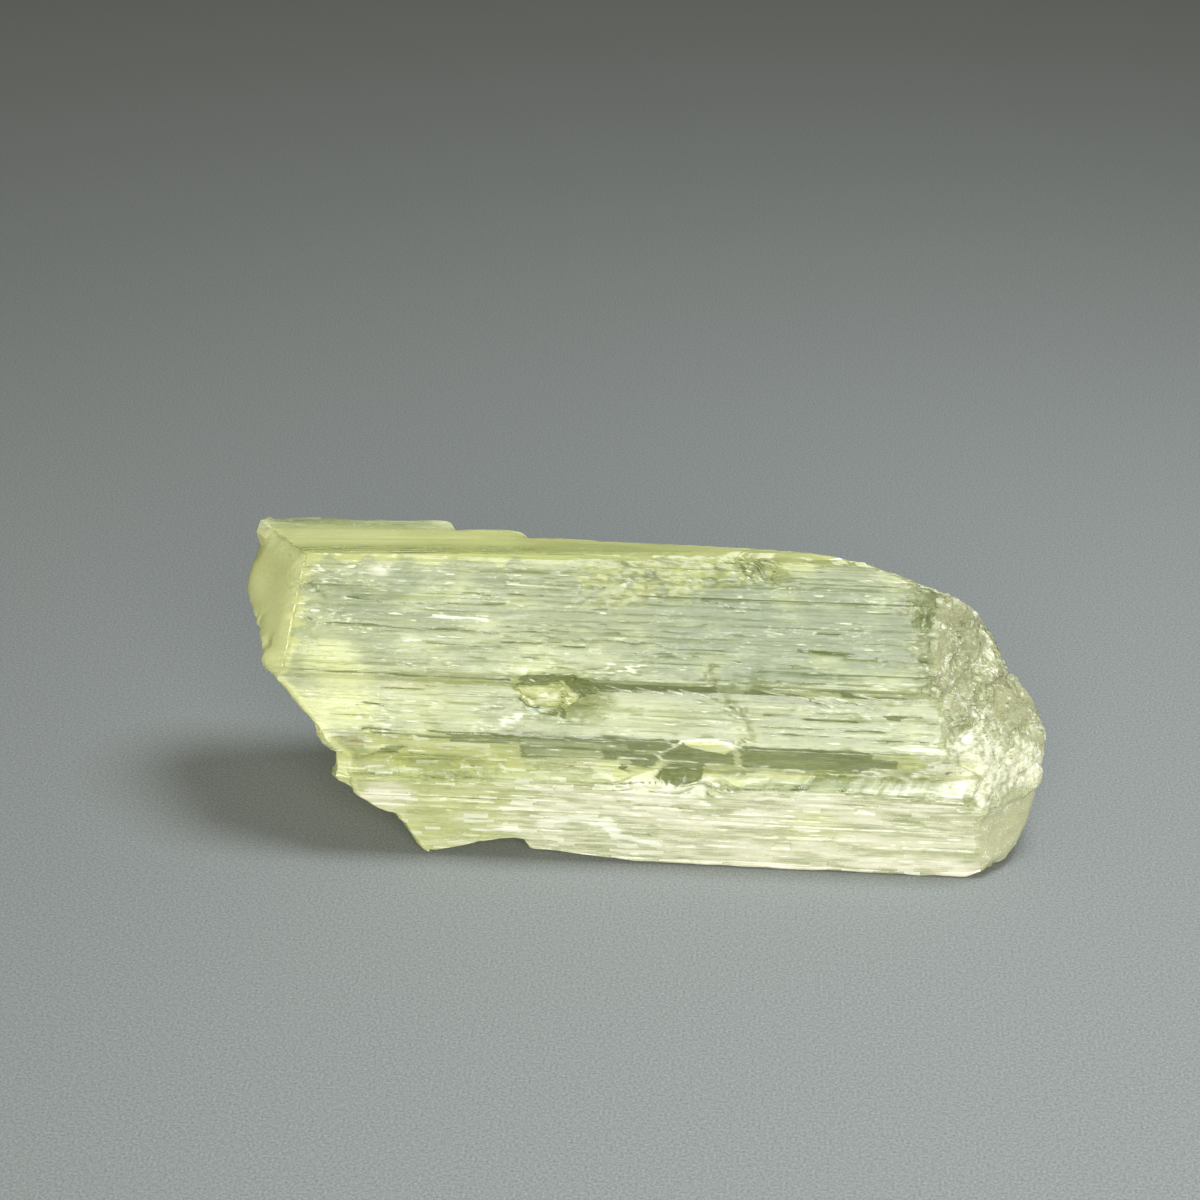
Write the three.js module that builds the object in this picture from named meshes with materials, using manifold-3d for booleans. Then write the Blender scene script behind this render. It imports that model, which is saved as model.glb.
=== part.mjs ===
// A hiddenite crystal (green spodumene) lying on one of its prism faces.
// It is one solid: a striated prism, closed at its left end by smooth cleavage faces and broken off at its
// right end along a rough fracture.
// Millimetres. X runs along the long axis of the crystal, Y from its front to its back, and Z is up.
import * as THREE from "three";
import { mergeVertices } from "three/addons/utils/BufferGeometryUtils.js";
import Module from "manifold-3d";

const wasm = await Module();
wasm.setup();

// ---- Driving dimensions ----
const REACH = 26; // the uncut prism runs this far to each side, past both ends
const BLOCK = 70; // side of the blocks that cut the crystal
const STRIA_DEPTH = 0.09; // height of a growth step on a striated face

// Corners of the prism's cross-section, [y, z], from the front foot up the front and down the back.
const FRONT_FOOT = [0, 0];
const LOWER_FACE_TOP = [-0.1, 4.4];
const LEDGE_BACK = [0.7, 4.8]; // the ledge is the floor of the long re-entrant groove
const GROOVE_LIP = [0.4, 6.2];
const MIDDLE_FACE_TOP = [1.6, 8.2];
const UPPER_LIP = [1.4, 8.8];
const CREST_FRONT = [4.45, 14.2];
const CREST_BACK = [7.1, 14.2];
const BACK_SHOULDER = [9.3, 10.2];
const BACK_WAIST = [9.8, 5.4];
const BACK_HEEL = [8.8, 1.2];
const BACK_FOOT = [7.7, 0];

// Flat faces that cut the prism: [outward normal, a point on the face].
const CROWN = [[-0.028, 0, 1], [-15.9, 3.9, 13.3]];
const LEFT_BEVEL = [[-0.686, -0.573, 0.448], [-15.9, 3.9, 13.22]];
const LEFT_CAP = [[-1, 0, 0.2], [-18.2, 6.5, 13.6]];
const RIGHT_SHOULDER = [[0.288, 0.625, 0.726], [11.7, 3.8, 13.05]];
const RIGHT_UNDERCUT = [[0.68, 0.1, -0.73], [15.95, 1, 0]];

// The stepped cleavage under the left end, as [x, z] along the front of the crystal.
const LEFT_EDGE = [
  [-9.8, -1], [-10, 0], [-10.6, 0.35], [-11.6, 2.2], [-12.4, 2.4], [-13.5, 3.1],
  [-13.9, 4.3], [-15.3, 6.4], [-17.2, 8], [-18.5, 9], [-24, 14.6],
];
const LEFT_LEAN = 0.17; // how far the cleavage moves to the right for each millimetre towards the back

// Terraces on the back: [where the step starts, y of the crown's back edge there, slope of that edge].
const TERRACES = [[-26, 7.35, 0.066], [-9.3, 6.8, -0.105], [-5.7, 5.85, -0.1]];
const TERRACE_NORMAL = [0, 0.878, 0.479];

// The broken right end.
const FRACTURE_CELLS = 34;
const FRACTURE_SIDE = 17;
const RIDGE = 4.8; // y where the fracture turns from facing forwards to facing backwards
const RIDGE_REACH = 17.9; // how far right the ridge gets
const BREAK_HEIGHT = 3.2; // under this height the break is steep and smoother
const BROKEN_BLOCK_TOP = 6.1;
const BROKEN_BLOCK_STEP = 0.45;

function random(seed) {
  // mulberry32: the same numbers on every run
  let state = seed;
  return () => {
    state = (state + 0x6d2b79f5) | 0;
    let mixed = Math.imul(state ^ (state >>> 15), 1 | state);
    mixed = (mixed + Math.imul(mixed ^ (mixed >>> 7), 61 | mixed)) ^ mixed;
    return ((mixed ^ (mixed >>> 14)) >>> 0) / 2 ** 32;
  };
}

// ---- From three.js geometry to solids and back ----
function bare(geometry) {
  geometry.deleteAttribute("normal");
  geometry.deleteAttribute("uv");
  return mergeVertices(geometry, 1e-4);
}

function solidOf(geometry) {
  const merged = bare(geometry);
  return new wasm.Manifold(
    new wasm.Mesh({
      numProp: 3,
      vertProperties: merged.attributes.position.array,
      triVerts: new Uint32Array(merged.index.array),
    }),
  );
}

function geometryOf(solid) {
  const { vertProperties, triVerts } = solid.getMesh();
  const geometry = new THREE.BufferGeometry();
  geometry.setAttribute("position", new THREE.BufferAttribute(vertProperties, 3));
  geometry.setIndex(new THREE.BufferAttribute(triVerts, 1));
  return geometry.toNonIndexed();
}

// ---- Cutting tools ----
// A block that fills everything on the outer side of a flat face.
function beyond([normal, point]) {
  const direction = new THREE.Vector3(...normal).normalize();
  const turn = new THREE.Quaternion().setFromUnitVectors(new THREE.Vector3(0, 0, 1), direction);
  const geometry = new THREE.BoxGeometry(BLOCK, BLOCK, BLOCK).translate(0, 0, BLOCK / 2);
  return solidOf(geometry.applyQuaternion(turn).translate(...point));
}

// An outline of [x, z] points drawn from front to back, sheared along X as it goes back.
function acrossBlock(outline, front, back, lean) {
  const shape = new THREE.Shape(outline.map(([x, z]) => new THREE.Vector2(x, z)));
  const geometry = new THREE.ExtrudeGeometry(shape, { depth: back - front, bevelEnabled: false });
  geometry.rotateX(Math.PI / 2).translate(0, back, 0);
  const shear = new THREE.Matrix4().set(1, lean, 0, 0, 0, 1, 0, 0, 0, 0, 1, 0, 0, 0, 0, 1);
  return solidOf(geometry.applyMatrix4(shear));
}

// A faceted lump with three radii, for the hollow that a shell-shaped chip leaves.
function chip(centre, radii, turn) {
  const geometry = new THREE.IcosahedronGeometry(1, 1).scale(...radii);
  return solidOf(geometry.rotateX(turn[0]).rotateY(turn[1]).rotateZ(turn[2]).translate(...centre));
}

// ---- The crystal ----
// Growth steps on a flat face between two outline corners: the face drops by one step, then climbs back.
function striated(from, to, steps, seed) {
  const noise = random(seed);
  const [run, rise] = [to[0] - from[0], to[1] - from[1]];
  const length = Math.hypot(run, rise);
  const inward = [rise / length, -run / length];
  const points = [from];
  for (let step = 1; step < steps; step++) {
    const along = (step + 0.7 * (noise() - 0.5)) / steps;
    const depth = STRIA_DEPTH * (0.4 + 0.6 * noise());
    const base = [from[0] + run * along, from[1] + rise * along];
    points.push([base[0] + inward[0] * depth, base[1] + inward[1] * depth]);
    const lip = along + (0.12 + 0.1 * noise()) / steps;
    points.push([from[0] + run * lip, from[1] + rise * lip]);
  }
  return points;
}

function prism() {
  const outline = [
    ...striated(FRONT_FOOT, LOWER_FACE_TOP, 7, 11),
    LOWER_FACE_TOP,
    LEDGE_BACK,
    ...striated(GROOVE_LIP, MIDDLE_FACE_TOP, 4, 12),
    MIDDLE_FACE_TOP,
    ...striated(UPPER_LIP, CREST_FRONT, 11, 13),
    CREST_FRONT,
    CREST_BACK,
    ...striated(BACK_SHOULDER, BACK_WAIST, 6, 14),
    ...striated(BACK_WAIST, BACK_HEEL, 5, 15),
    BACK_HEEL,
    BACK_FOOT,
  ];
  const shape = new THREE.Shape(outline.map(([y, z]) => new THREE.Vector2(y, z)));
  const geometry = new THREE.ExtrudeGeometry(shape, { depth: 2 * REACH, bevelEnabled: false });
  const section = new THREE.Matrix4().makeBasis(
    new THREE.Vector3(0, 1, 0),
    new THREE.Vector3(0, 0, 1),
    new THREE.Vector3(1, 0, 0),
  );
  return solidOf(geometry.applyMatrix4(section).translate(-REACH, 0, 0));
}

// What lies left of the stepped cleavage.
function leftCleavage() {
  return acrossBlock([...LEFT_EDGE, [-30, 14.6], [-30, -1]], -3, 14, LEFT_LEAN);
}

// What lies behind the back edge of the crown, in three terraces that each end in a slanting riser.
function backTerraces() {
  return TERRACES.map(([start, y, slope]) => {
    const [, outY, outZ] = TERRACE_NORMAL;
    const crownBack = [Math.max(start, -18), y, 13.5];
    const behind = beyond([[-slope * outY, outY, outZ], crownBack]);
    return behind.intersect(beyond([[1, 0.35, 0], [start, y, 13.5]]));
  });
}

// The place of the broken surface for a point across the crystal.
function fractureAt(y, z) {
  const steep = 15.4 - 0.19 * z;
  const over = z - BREAK_HEIGHT;
  const sloping = Math.max(14.8 - 0.7 * over, 13.45 - 0.45 * over);
  const foot = Math.min(steep, sloping);
  const forwards = foot + y;
  const backwards = foot + RIDGE + 0.35 * (RIDGE - y);
  const tip = Math.min(RIDGE_REACH, 16.75 + 0.25 * z) - 0.1 * (y - RIDGE);
  const block = z < BROKEN_BLOCK_TOP && z > BREAK_HEIGHT ? BROKEN_BLOCK_STEP : 0;
  return Math.min(forwards + block, backwards, tip);
}

// What lies right of the fracture: a block whose near side is rough.
function fractureBlock() {
  const noise = random(7);
  const thickness = 20;
  const box = new THREE.BoxGeometry(
    thickness, FRACTURE_SIDE, FRACTURE_SIDE, 1, FRACTURE_CELLS, FRACTURE_CELLS,
  );
  const rough = bare(box.translate(thickness / 2, FRACTURE_SIDE / 2 - 3, FRACTURE_SIDE / 2 - 1.5));
  const place = rough.attributes.position;
  for (let i = 0; i < place.count; i++) {
    const [x, y, z] = [place.getX(i), place.getY(i), place.getZ(i)];
    if (x < thickness / 2) {
      const roughness = z < BREAK_HEIGHT ? 0.12 : 0.42;
      place.setX(i, fractureAt(y, z) + roughness * (noise() - 0.5));
    } else {
      place.setX(i, 40);
    }
  }
  return solidOf(rough);
}

// Chips and breaks along the front.
function damage() {
  const leftUnderside = acrossBlock([[-10.1, -1], [-10.1, 0.05], [-5.65, 1.1], [-5.55, -1]], -2, 2.8, 0);
  const frontUnderside = acrossBlock([[-5.7, -1], [-5.7, 0.55], [-3, 0.3], [0.5, -0.02], [0.5, -1]], -2, 0.7, 0);
  const crownNotch = chip([4.9, 3.6, 13.1], [0.9, 0.5, 0.4], [0.3, 0.4, 0.2]);
  const pit = chip([-4.1, 1.3, 8.0], [2.05, 0.75, 0.95], [0.4, 0.1, 0.05]);
  const crossBreak = chip([4.1, 1.05, 8.1], [0.5, 0.5, 2.8], [-0.38, 0.16, 0]);
  const ledgeChips = [
    chip([0.4, 0.15, 4.75], [1.6, 0.6, 0.5], [0.2, -0.35, 0.1]),
    chip([2.9, 0.1, 4.55], [1.3, 0.55, 0.45], [0.1, -0.5, 0.15]),
    chip([-12.3, 0.2, 5.6], [1.5, 0.5, 0.55], [0, 0.3, 0.2]),
  ];
  return [leftUnderside, frontUnderside, crownNotch, pit, crossBreak, ...ledgeChips];
}

function crystal() {
  const cuts = [
    ...[CROWN, LEFT_BEVEL, LEFT_CAP, RIGHT_SHOULDER, RIGHT_UNDERCUT].map(beyond),
    leftCleavage(),
    ...backTerraces(),
    fractureBlock(),
    ...damage(),
  ];
  return cuts.reduce((solid, cut) => solid.subtract(cut), prism());
}

const geometry = geometryOf(crystal());
geometry.computeBoundingBox();
const middle = geometry.boundingBox.getCenter(new THREE.Vector3());
geometry.translate(-middle.x, -middle.y, -geometry.boundingBox.min.z);

const mesh = new THREE.Mesh(
  geometry,
  new THREE.MeshStandardMaterial({ color: 0xc9cf9a, roughness: 0.25, metalness: 0 }),
);
mesh.name = "hiddenite_crystal";

const group = new THREE.Group();
group.add(mesh);
export default group;
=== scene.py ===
import math

import bpy
import numpy as np
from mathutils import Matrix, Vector
from mathutils.bvhtree import BVHTree
from mathutils.kdtree import KDTree


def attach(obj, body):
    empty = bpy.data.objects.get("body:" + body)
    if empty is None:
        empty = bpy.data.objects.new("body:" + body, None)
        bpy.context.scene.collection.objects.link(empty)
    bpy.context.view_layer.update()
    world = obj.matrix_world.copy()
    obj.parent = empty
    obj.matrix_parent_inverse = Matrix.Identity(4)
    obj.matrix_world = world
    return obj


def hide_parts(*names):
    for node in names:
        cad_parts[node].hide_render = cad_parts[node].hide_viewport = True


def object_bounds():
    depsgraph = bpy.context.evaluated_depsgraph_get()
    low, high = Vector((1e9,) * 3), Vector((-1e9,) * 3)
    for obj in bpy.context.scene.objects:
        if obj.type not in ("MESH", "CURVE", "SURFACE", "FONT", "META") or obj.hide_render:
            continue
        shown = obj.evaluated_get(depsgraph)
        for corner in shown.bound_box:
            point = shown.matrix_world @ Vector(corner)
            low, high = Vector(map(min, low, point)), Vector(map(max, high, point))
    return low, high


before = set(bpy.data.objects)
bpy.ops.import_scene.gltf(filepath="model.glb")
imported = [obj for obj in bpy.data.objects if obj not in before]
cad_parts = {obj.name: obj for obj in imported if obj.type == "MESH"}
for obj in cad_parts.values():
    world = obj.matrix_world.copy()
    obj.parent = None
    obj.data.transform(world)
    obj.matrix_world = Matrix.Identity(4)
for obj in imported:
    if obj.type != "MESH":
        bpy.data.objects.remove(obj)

CAD_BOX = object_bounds()
MM = 0.001
CRYSTAL = "hiddenite_crystal"
FLOOR_GAP = 0.02 * MM  # the crystal stands this far above the paper, as a hard face does

# ---- The grid that carries the fine surface ----
AXIS_Y = -0.25 * MM  # a line inside the crystal, along X, from which its whole surface can be seen
AXIS_Z = 6.6 * MM
LEFT_EYE = -10.2 * MM  # the line's two ends
RIGHT_EYE = 13.6 * MM
LINES = 350  # grid lines along the crystal
SIDE_STEPS = 216  # rings on the long faces
LEFT_STEPS = 20  # rings on the left end
RIGHT_STEPS = 46  # rings on the broken right end
FRONT_WEIGHT = 6.0  # how much denser the grid lines are on the front
CROWN_WEIGHT = 4.0  # the same for the crown and its back edge
CROWN_FROM = 12 * MM  # the height where the crown starts
FAN = 100  # rays over a quarter turn at each end of the line
SAMPLES = 150  # rays between the two ends
OUTLINE_RAYS = 7200  # rays round the middle, to space the grid lines
CORNER_LEAN = 0.36  # how much x counts against radius in finding the corner of an end
STEP_REACH = 0.35  # millimetres round the outline over which the CAD's small steps are levelled
STEP_DEPTHS = (0.05, 0.09)  # millimetres a point may move for it, round the outline and along it
SEED = 20
CREASE_DEGREES = 24  # edges sharper than this stay sharp in the shading

# ---- The camera, as in the photo ----
CAMERA_TURN, CAMERA_RISE = 4.5, 28  # degrees to the right of the front, and degrees above the floor
CAMERA_AIM = (-2.11, 0.63, 10.65)  # millimetres
CAMERA_DISTANCE = 109.9 * MM
CAMERA_LENS, CAMERA_SENSOR = 72.2, 36


def hit(tree, origin, direction):
    place, _, _, _ = tree.ray_cast(origin, direction)
    if place is None:
        raise RuntimeError("a ray from inside the crystal left it without meeting its surface")
    return place


def half_profile(tree, angle):
    """Surface points in the half plane at that angle about the axis, from left to right."""
    out = Vector((0, math.cos(angle), math.sin(angle)))
    left, right = Vector((-1, 0, 0)), Vector((1, 0, 0))
    left_eye = Vector((LEFT_EYE, AXIS_Y, AXIS_Z))
    right_eye = Vector((RIGHT_EYE, AXIS_Y, AXIS_Z))
    turns = [math.radians(90 * k / FAN) for k in range(FAN + 1)]
    points = [hit(tree, left_eye, left * math.cos(t) + out * math.sin(t)) for t in turns]
    for k in range(1, SAMPLES):
        points.append(hit(tree, left_eye.lerp(right_eye, k / SAMPLES), out))
    points += [hit(tree, right_eye, right * math.cos(t) + out * math.sin(t)) for t in reversed(turns)]
    return np.array(points)


def along_curve(points, steps):
    """The curve through the points, cut into equal steps."""
    lengths = np.concatenate([[0], np.cumsum(np.linalg.norm(np.diff(points, axis=0), axis=1))])
    wanted = np.linspace(0, lengths[-1], steps + 1)
    return np.stack([np.interp(wanted, lengths, points[:, axis]) for axis in range(3)], axis=1)


def rim(points, side):
    """Index of the corner where the left end (side -1) or the right end (side 1) begins."""
    radius = np.hypot(points[:, 1] - AXIS_Y, points[:, 2] - AXIS_Z)
    reach = radius + CORNER_LEAN * side * points[:, 0]
    half = len(points) // 2
    return int(np.argmax(reach[:half])) if side < 0 else half + int(np.argmax(reach[half:]))


def spaced_lines(tree):
    """Angles of the grid lines, closest on the front, and how far round the outline each is."""
    angles = np.radians(np.linspace(0, 360, OUTLINE_RAYS + 1))
    middle = Vector((0, AXIS_Y, AXIS_Z))
    outline = np.array([hit(tree, middle, Vector((0, math.cos(a), math.sin(a)))) for a in angles])
    steps = np.linalg.norm(np.diff(outline, axis=0), axis=1)
    lengths = np.concatenate([[0], np.cumsum(steps)])
    facing_front = (np.diff(outline[:, 2]) < 0) & (outline[1:, 1] < 0)
    above = np.where(outline[1:, 2] > CROWN_FROM, CROWN_WEIGHT, 1)
    weighted = np.concatenate([[0], np.cumsum(steps * np.where(facing_front, FRONT_WEIGHT, above))])
    wanted = np.linspace(0, weighted[-1], LINES, endpoint=False)
    return np.interp(wanted, weighted, angles), np.interp(wanted, weighted, lengths)


def surface_grid(node):
    """Points on the CAD solid by line and ring, and how far round the outline each line is."""
    corners = [v.co.copy() for v in node.data.vertices]
    faces = [tuple(p.vertices) for p in node.data.polygons]
    tree = BVHTree.FromPolygons(corners, faces)
    angles, way_round = spaced_lines(tree)
    lines = []
    for angle in angles:
        points = half_profile(tree, angle)
        left, right = rim(points, -1), rim(points, 1)
        left_end = along_curve(points[: left + 1], LEFT_STEPS)
        side = along_curve(points[left : right + 1], SIDE_STEPS)
        right_end = along_curve(points[right:], RIGHT_STEPS)
        lines.append(np.concatenate([left_end[:-1], side, right_end[1:]]))
    return np.array(lines) / MM, way_round / MM


# ---- Gem: every depth and place from here to the mesh is in millimetres ----
MASKS = ("front", "frost", "tone", "olive", "cool", "warm", "rose", "tan", "chalk", "deep", "stain", "blocky")


def ramp(value, low, high):
    """0 below low, 1 above high and smooth between them. Low may be the larger one."""
    t = np.clip((value - low) / (high - low), 0, 1)
    return t * t * (3 - 2 * t)


class Gem:
    """The crystal's surface as a grid: how deep each point is carved, and what it looks like.

    The masks run from 0 to 1. front is finely striated, frost is rough and broken, olive is smooth
    and yellow-green, cool is grey-green and over the upper left of the front a painted silvery
    sheen, warm is yellow and in spots on the front a painted glow, rose is milky and faintly pink,
    tan is weathered, chalk is opaque white and also painted highlights and glints, deep looks into
    dark clear crystal and also holds painted shade in cracks, gaps and recesses, stain is brown,
    blocky breaks up into little boxes, and tone darkens the surface below 0.5 and lightens it above.
    """

    def __init__(self, grid, way_round):
        self.rng = np.random.default_rng(SEED)
        self.lines = way_round
        self.place = self.without_small_steps(grid)
        grid = self.place
        self.round = np.repeat(way_round[:, None], grid.shape[1], axis=1)
        self.x, self.y, self.z = grid[..., 0], grid[..., 1], grid[..., 2]
        self.normal = self.outward()
        self.depth = np.zeros(self.x.shape)
        for mask in MASKS:
            setattr(self, mask, np.zeros(self.x.shape))
        self.tone += 0.5
        # Places on the front for drawing: x and z that wander a little, so that no line is ruled.
        self.u = self.x + 0.1 * self.hills(0.5, 0.12)
        self.v = self.z + 0.05 * self.hills(0.9, 0.3)
        self.uneven = 1 + 0.5 * self.hills(0.5, 0.2)
        ring = np.arange(grid.shape[1])[None, :] + self.depth
        self.from_left = ring - LEFT_STEPS
        self.from_right = LEFT_STEPS + SIDE_STEPS - ring
        self.side = ramp(self.from_left, -2, 1) * ramp(self.from_right, -2, 1)
        self.crown = ramp(self.normal[..., 2], 0.75, 0.95) * ramp(self.z, 12, 12.5)
        self.facing = ramp(-self.normal[..., 1], 0.1, 0.4) * self.side * (1 - self.crown)

    def hills(self, cell_u, cell_v, over=None):
        """Smooth random hills from -1 to 1, over x and z unless other coordinates are given."""
        u, v = over or (self.x, self.z)
        u, v = (u - u.min()) / cell_u, (v - v.min()) / cell_v
        table = self.rng.uniform(-1, 1, (int(u.max()) + 2, int(v.max()) + 2))
        i, j = u.astype(int), v.astype(int)
        s, t = ramp(u - i, 0, 1), ramp(v - j, 0, 1)
        low = table[i, j] * (1 - s) + table[i + 1, j] * s
        high = table[i, j + 1] * (1 - s) + table[i + 1, j + 1] * s
        return low * (1 - t) + high * t

    def pick(self, span):
        """A random value between two."""
        return self.rng.uniform(*span)

    def pick_scaled(self, span):
        """The same, with small values more likely than large ones."""
        return span[0] * (span[1] / span[0]) ** self.rng.random()

    def row_at(self, distance):
        """For each grid line, the line that lies that far round the outline from it."""
        total = self.lines[-1] + self.lines[1] - self.lines[0]
        return np.searchsorted(self.lines, (self.lines + distance) % total) % len(self.lines)

    def without_small_steps(self, grid):
        """Smooths the CAD's small steps away, round the outline and then along it. Edges stay."""
        around = [grid[self.row_at(distance)] for distance in np.linspace(-STEP_REACH, STEP_REACH, 9)]
        grid = self.moved_a_little(grid, np.mean(around, axis=0), STEP_DEPTHS[0])
        ring = np.arange(grid.shape[1])
        last = LEFT_STEPS + SIDE_STEPS
        on_side = (ring >= LEFT_STEPS) & (ring <= last)
        near = [np.where(on_side, np.clip(ring + k, LEFT_STEPS, last), ring) for k in range(-4, 5)]
        along = np.mean([grid[:, rings] for rings in near], axis=0)
        grid = self.moved_a_little(grid, along, STEP_DEPTHS[1])
        for _ in range(3):
            grid = np.mean([grid[:, rings] for rings in near[3:6]], axis=0)
        soft = grid
        for _ in range(5):
            soft = np.mean([soft[:, rings] for rings in near[2:7]], axis=0)
        on_ledge = ramp(np.abs(grid[..., 2] - 4.4), 0.7, 0.4) * ramp(grid[..., 1], -3, -3.5)
        return grid + (soft - grid) * on_ledge[..., None]

    @staticmethod
    def moved_a_little(grid, wanted, most):
        """Moves each point to where it is wanted, unless that is much further than most."""
        size = np.linalg.norm(wanted - grid, axis=2, keepdims=True)
        return grid + (wanted - grid) * ramp(size, 2 * most, most)

    def outward(self):
        """Unit normals of the coarse shape, without its small steps."""
        soft = self.place.copy()
        for _ in range(3):
            soft = (np.roll(soft, 2, axis=0) + soft + np.roll(soft, -2, axis=0)) / 3
        across = np.roll(soft, -2, axis=0) - np.roll(soft, 2, axis=0)
        normal = np.cross(across, np.gradient(soft, axis=1))
        return normal / np.maximum(np.linalg.norm(normal, axis=2, keepdims=True), 1e-9)

    def standing_out(self, reach):
        """How far each point stands out from its neighbours at that distance: large along ridges."""
        above, below = self.row_at(reach), self.row_at(-reach)
        ring = np.arange(self.x.shape[1])
        left, right = np.maximum(ring - 2, 0), np.minimum(ring + 2, ring[-1])
        around = self.place[above] + self.place[below] + self.place[:, left] + self.place[:, right]
        return np.sum((self.place - around / 4) * self.normal, axis=2)

    def add(self, **strengths):
        """Paints over masks. The stronger of the old and the new value stays."""
        for mask, values in strengths.items():
            setattr(self, mask, np.maximum(getattr(self, mask), values))

    def paint(self, shape, strengths):
        """Adds a shape to masks, at a strength for each, and gives the shape back."""
        self.add(**{mask: strength * shape for mask, strength in strengths.items()})
        return shape

    def fade(self, where, *masks):
        """Weakens masks in a place."""
        for mask in masks:
            setattr(self, mask, getattr(self, mask) * (1 - where))

    def carved(self):
        return self.place - self.normal * self.depth[..., None]


# ---- Marks on the front, placed by x and z. Masks named in a call are painted in that shape. ----
def spot(gem, x, z, reach_x, reach_z, edge=0.4, **masks):
    """A soft ellipse."""
    away = np.hypot((gem.u - x) / reach_x, (gem.v - z) / reach_z)
    return gem.paint(ramp(away, 1, 1 - edge) * gem.facing, masks)


def patch(gem, corners, blur=0.06, **masks):
    """The inside of a convex outline, given counter-clockwise as (x, z) corners."""
    inside = np.full(gem.x.shape, np.inf)
    for (x0, z0), (x1, z1) in zip(corners, corners[1:] + corners[:1]):
        across = (x1 - x0) * (gem.v - z0) - (z1 - z0) * (gem.u - x0)
        inside = np.minimum(inside, across / math.hypot(x1 - x0, z1 - z0))
    return gem.paint(ramp(inside, -blur, blur) * gem.facing, masks)


def block(gem, x_low, x_high, z_low, z_high, blur=0.06, **masks):
    corners = [(x_low, z_low), (x_high, z_low), (x_high, z_high), (x_low, z_high)]
    return patch(gem, corners, blur, **masks)


def stroke(gem, points, reach, **masks):
    """A thin line of uneven width through (x, z) points."""
    nearest = np.full(gem.x.shape, np.inf)
    for (x0, z0), (x1, z1) in zip(points, points[1:]):
        dx, dz = x1 - x0, z1 - z0
        t = np.clip(((gem.u - x0) * dx + (gem.v - z0) * dz) / (dx * dx + dz * dz), 0, 1)
        nearest = np.minimum(nearest, np.hypot(gem.u - x0 - t * dx, gem.v - z0 - t * dz))
    return gem.paint(ramp(nearest, 1.25 * reach * gem.uneven, 0) * gem.facing, masks)


def crack(gem, points, reach=0.05, dark=0.8, depth=0.02):
    """A thin dark line of painted shade, cut a little into the surface."""
    gem.depth += depth * stroke(gem, points, reach, deep=dark)


def flake(gem, points, reach=0.05, bright=0.8):
    """A thin bright line, where a lifted edge catches the light."""
    near = stroke(gem, points, reach, chalk=bright)
    gem.fade(near, "deep")
    gem.depth -= 0.02 * near


def cracks(gem, count, x_range, z_range, lengths, reach=(0.04, 0.055)):
    """Short cracks along the crystal, scattered over a part of the front."""
    for _ in range(count):
        x, z = gem.pick(x_range), gem.pick(z_range)
        length, rise = gem.pick(lengths), gem.rng.uniform(-0.02, 0.01)
        path = [(x - length / 2, z - rise * length / 2), (x + length / 2, z + rise * length / 2)]
        crack(gem, path, gem.pick(reach), gem.rng.uniform(0.2, 0.7))


def flecks(gem, count, x_range, z_range, reach_x, reach_z, strength=(0.4, 1)):
    """Small bright dashes where a thin flake has lifted or broken off."""
    for _ in range(count):
        x, z = gem.pick(x_range), gem.pick(z_range)
        near = spot(gem, x, z, gem.pick(reach_x), gem.pick(reach_z), 0.6)
        gem.add(chalk=gem.pick(strength) * near)
        gem.depth += 0.02 * near


# ---- Texture that runs along the crystal ----
def stria(gem, where, centre, width, start, length, depth, lean, taper):
    """One long groove along X with one steep side."""
    rows = np.flatnonzero(np.abs(gem.lines - centre) < width)
    if not len(rows):
        return
    across = (gem.round[rows] - centre) / width
    peak = 0.8 * lean
    profile = np.where(across < peak, (across + 1) / (peak + 1), (1 - across) / (1 - peak))
    x = gem.x[rows]
    ends = ramp(x, start, start + taper) * ramp(x, start + length, start + length - taper)
    gem.depth[rows] += depth * np.clip(profile, 0, 1) * ends * where[rows]


def striae(gem, where, count, round_range, widths, lengths, steepness):
    """Many such grooves, each on its own stretch of the crystal."""
    for _ in range(count):
        width = gem.pick_scaled(widths)
        length = gem.pick_scaled(lengths)
        centre, start = gem.pick(round_range), gem.rng.uniform(-20, 19 - length / 2)
        depth = width * steepness * gem.rng.uniform(0.4, 1)
        lean, taper = gem.rng.uniform(-0.75, 0.75), gem.rng.uniform(0.15, 1.2)
        stria(gem, where, centre, width, start, length, depth, lean, taper)


def layers(gem, where, count, round_range, heights, lengths, drop, shade):
    """Thin growth layers that stop short: sunken strips with ragged ends, each of its own tone."""
    for _ in range(count):
        low = gem.pick(round_range)
        height = gem.pick_scaled(heights)
        start = gem.rng.uniform(-20, 16)
        finish = start + gem.pick_scaled(lengths)
        sunk, tint = gem.rng.uniform(0, drop), gem.rng.normal() * shade
        rows = np.flatnonzero((gem.lines > low) & (gem.lines < low + height))
        slant = gem.rng.uniform(-0.8, 0.8)
        if not len(rows):
            continue
        x, v = gem.x[rows], gem.round[rows]
        ragged = 0.4 * gem.hills(0.12, 1, (v, v * 0)) + slant * (v - low)
        inside = ramp(x - ragged, start - 0.1, start + 0.1)
        inside = inside * ramp(x + ragged, finish + 0.1, finish - 0.1) * where[rows]
        gem.depth[rows] += sunk * inside
        gem.tone[rows] += tint * inside


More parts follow.
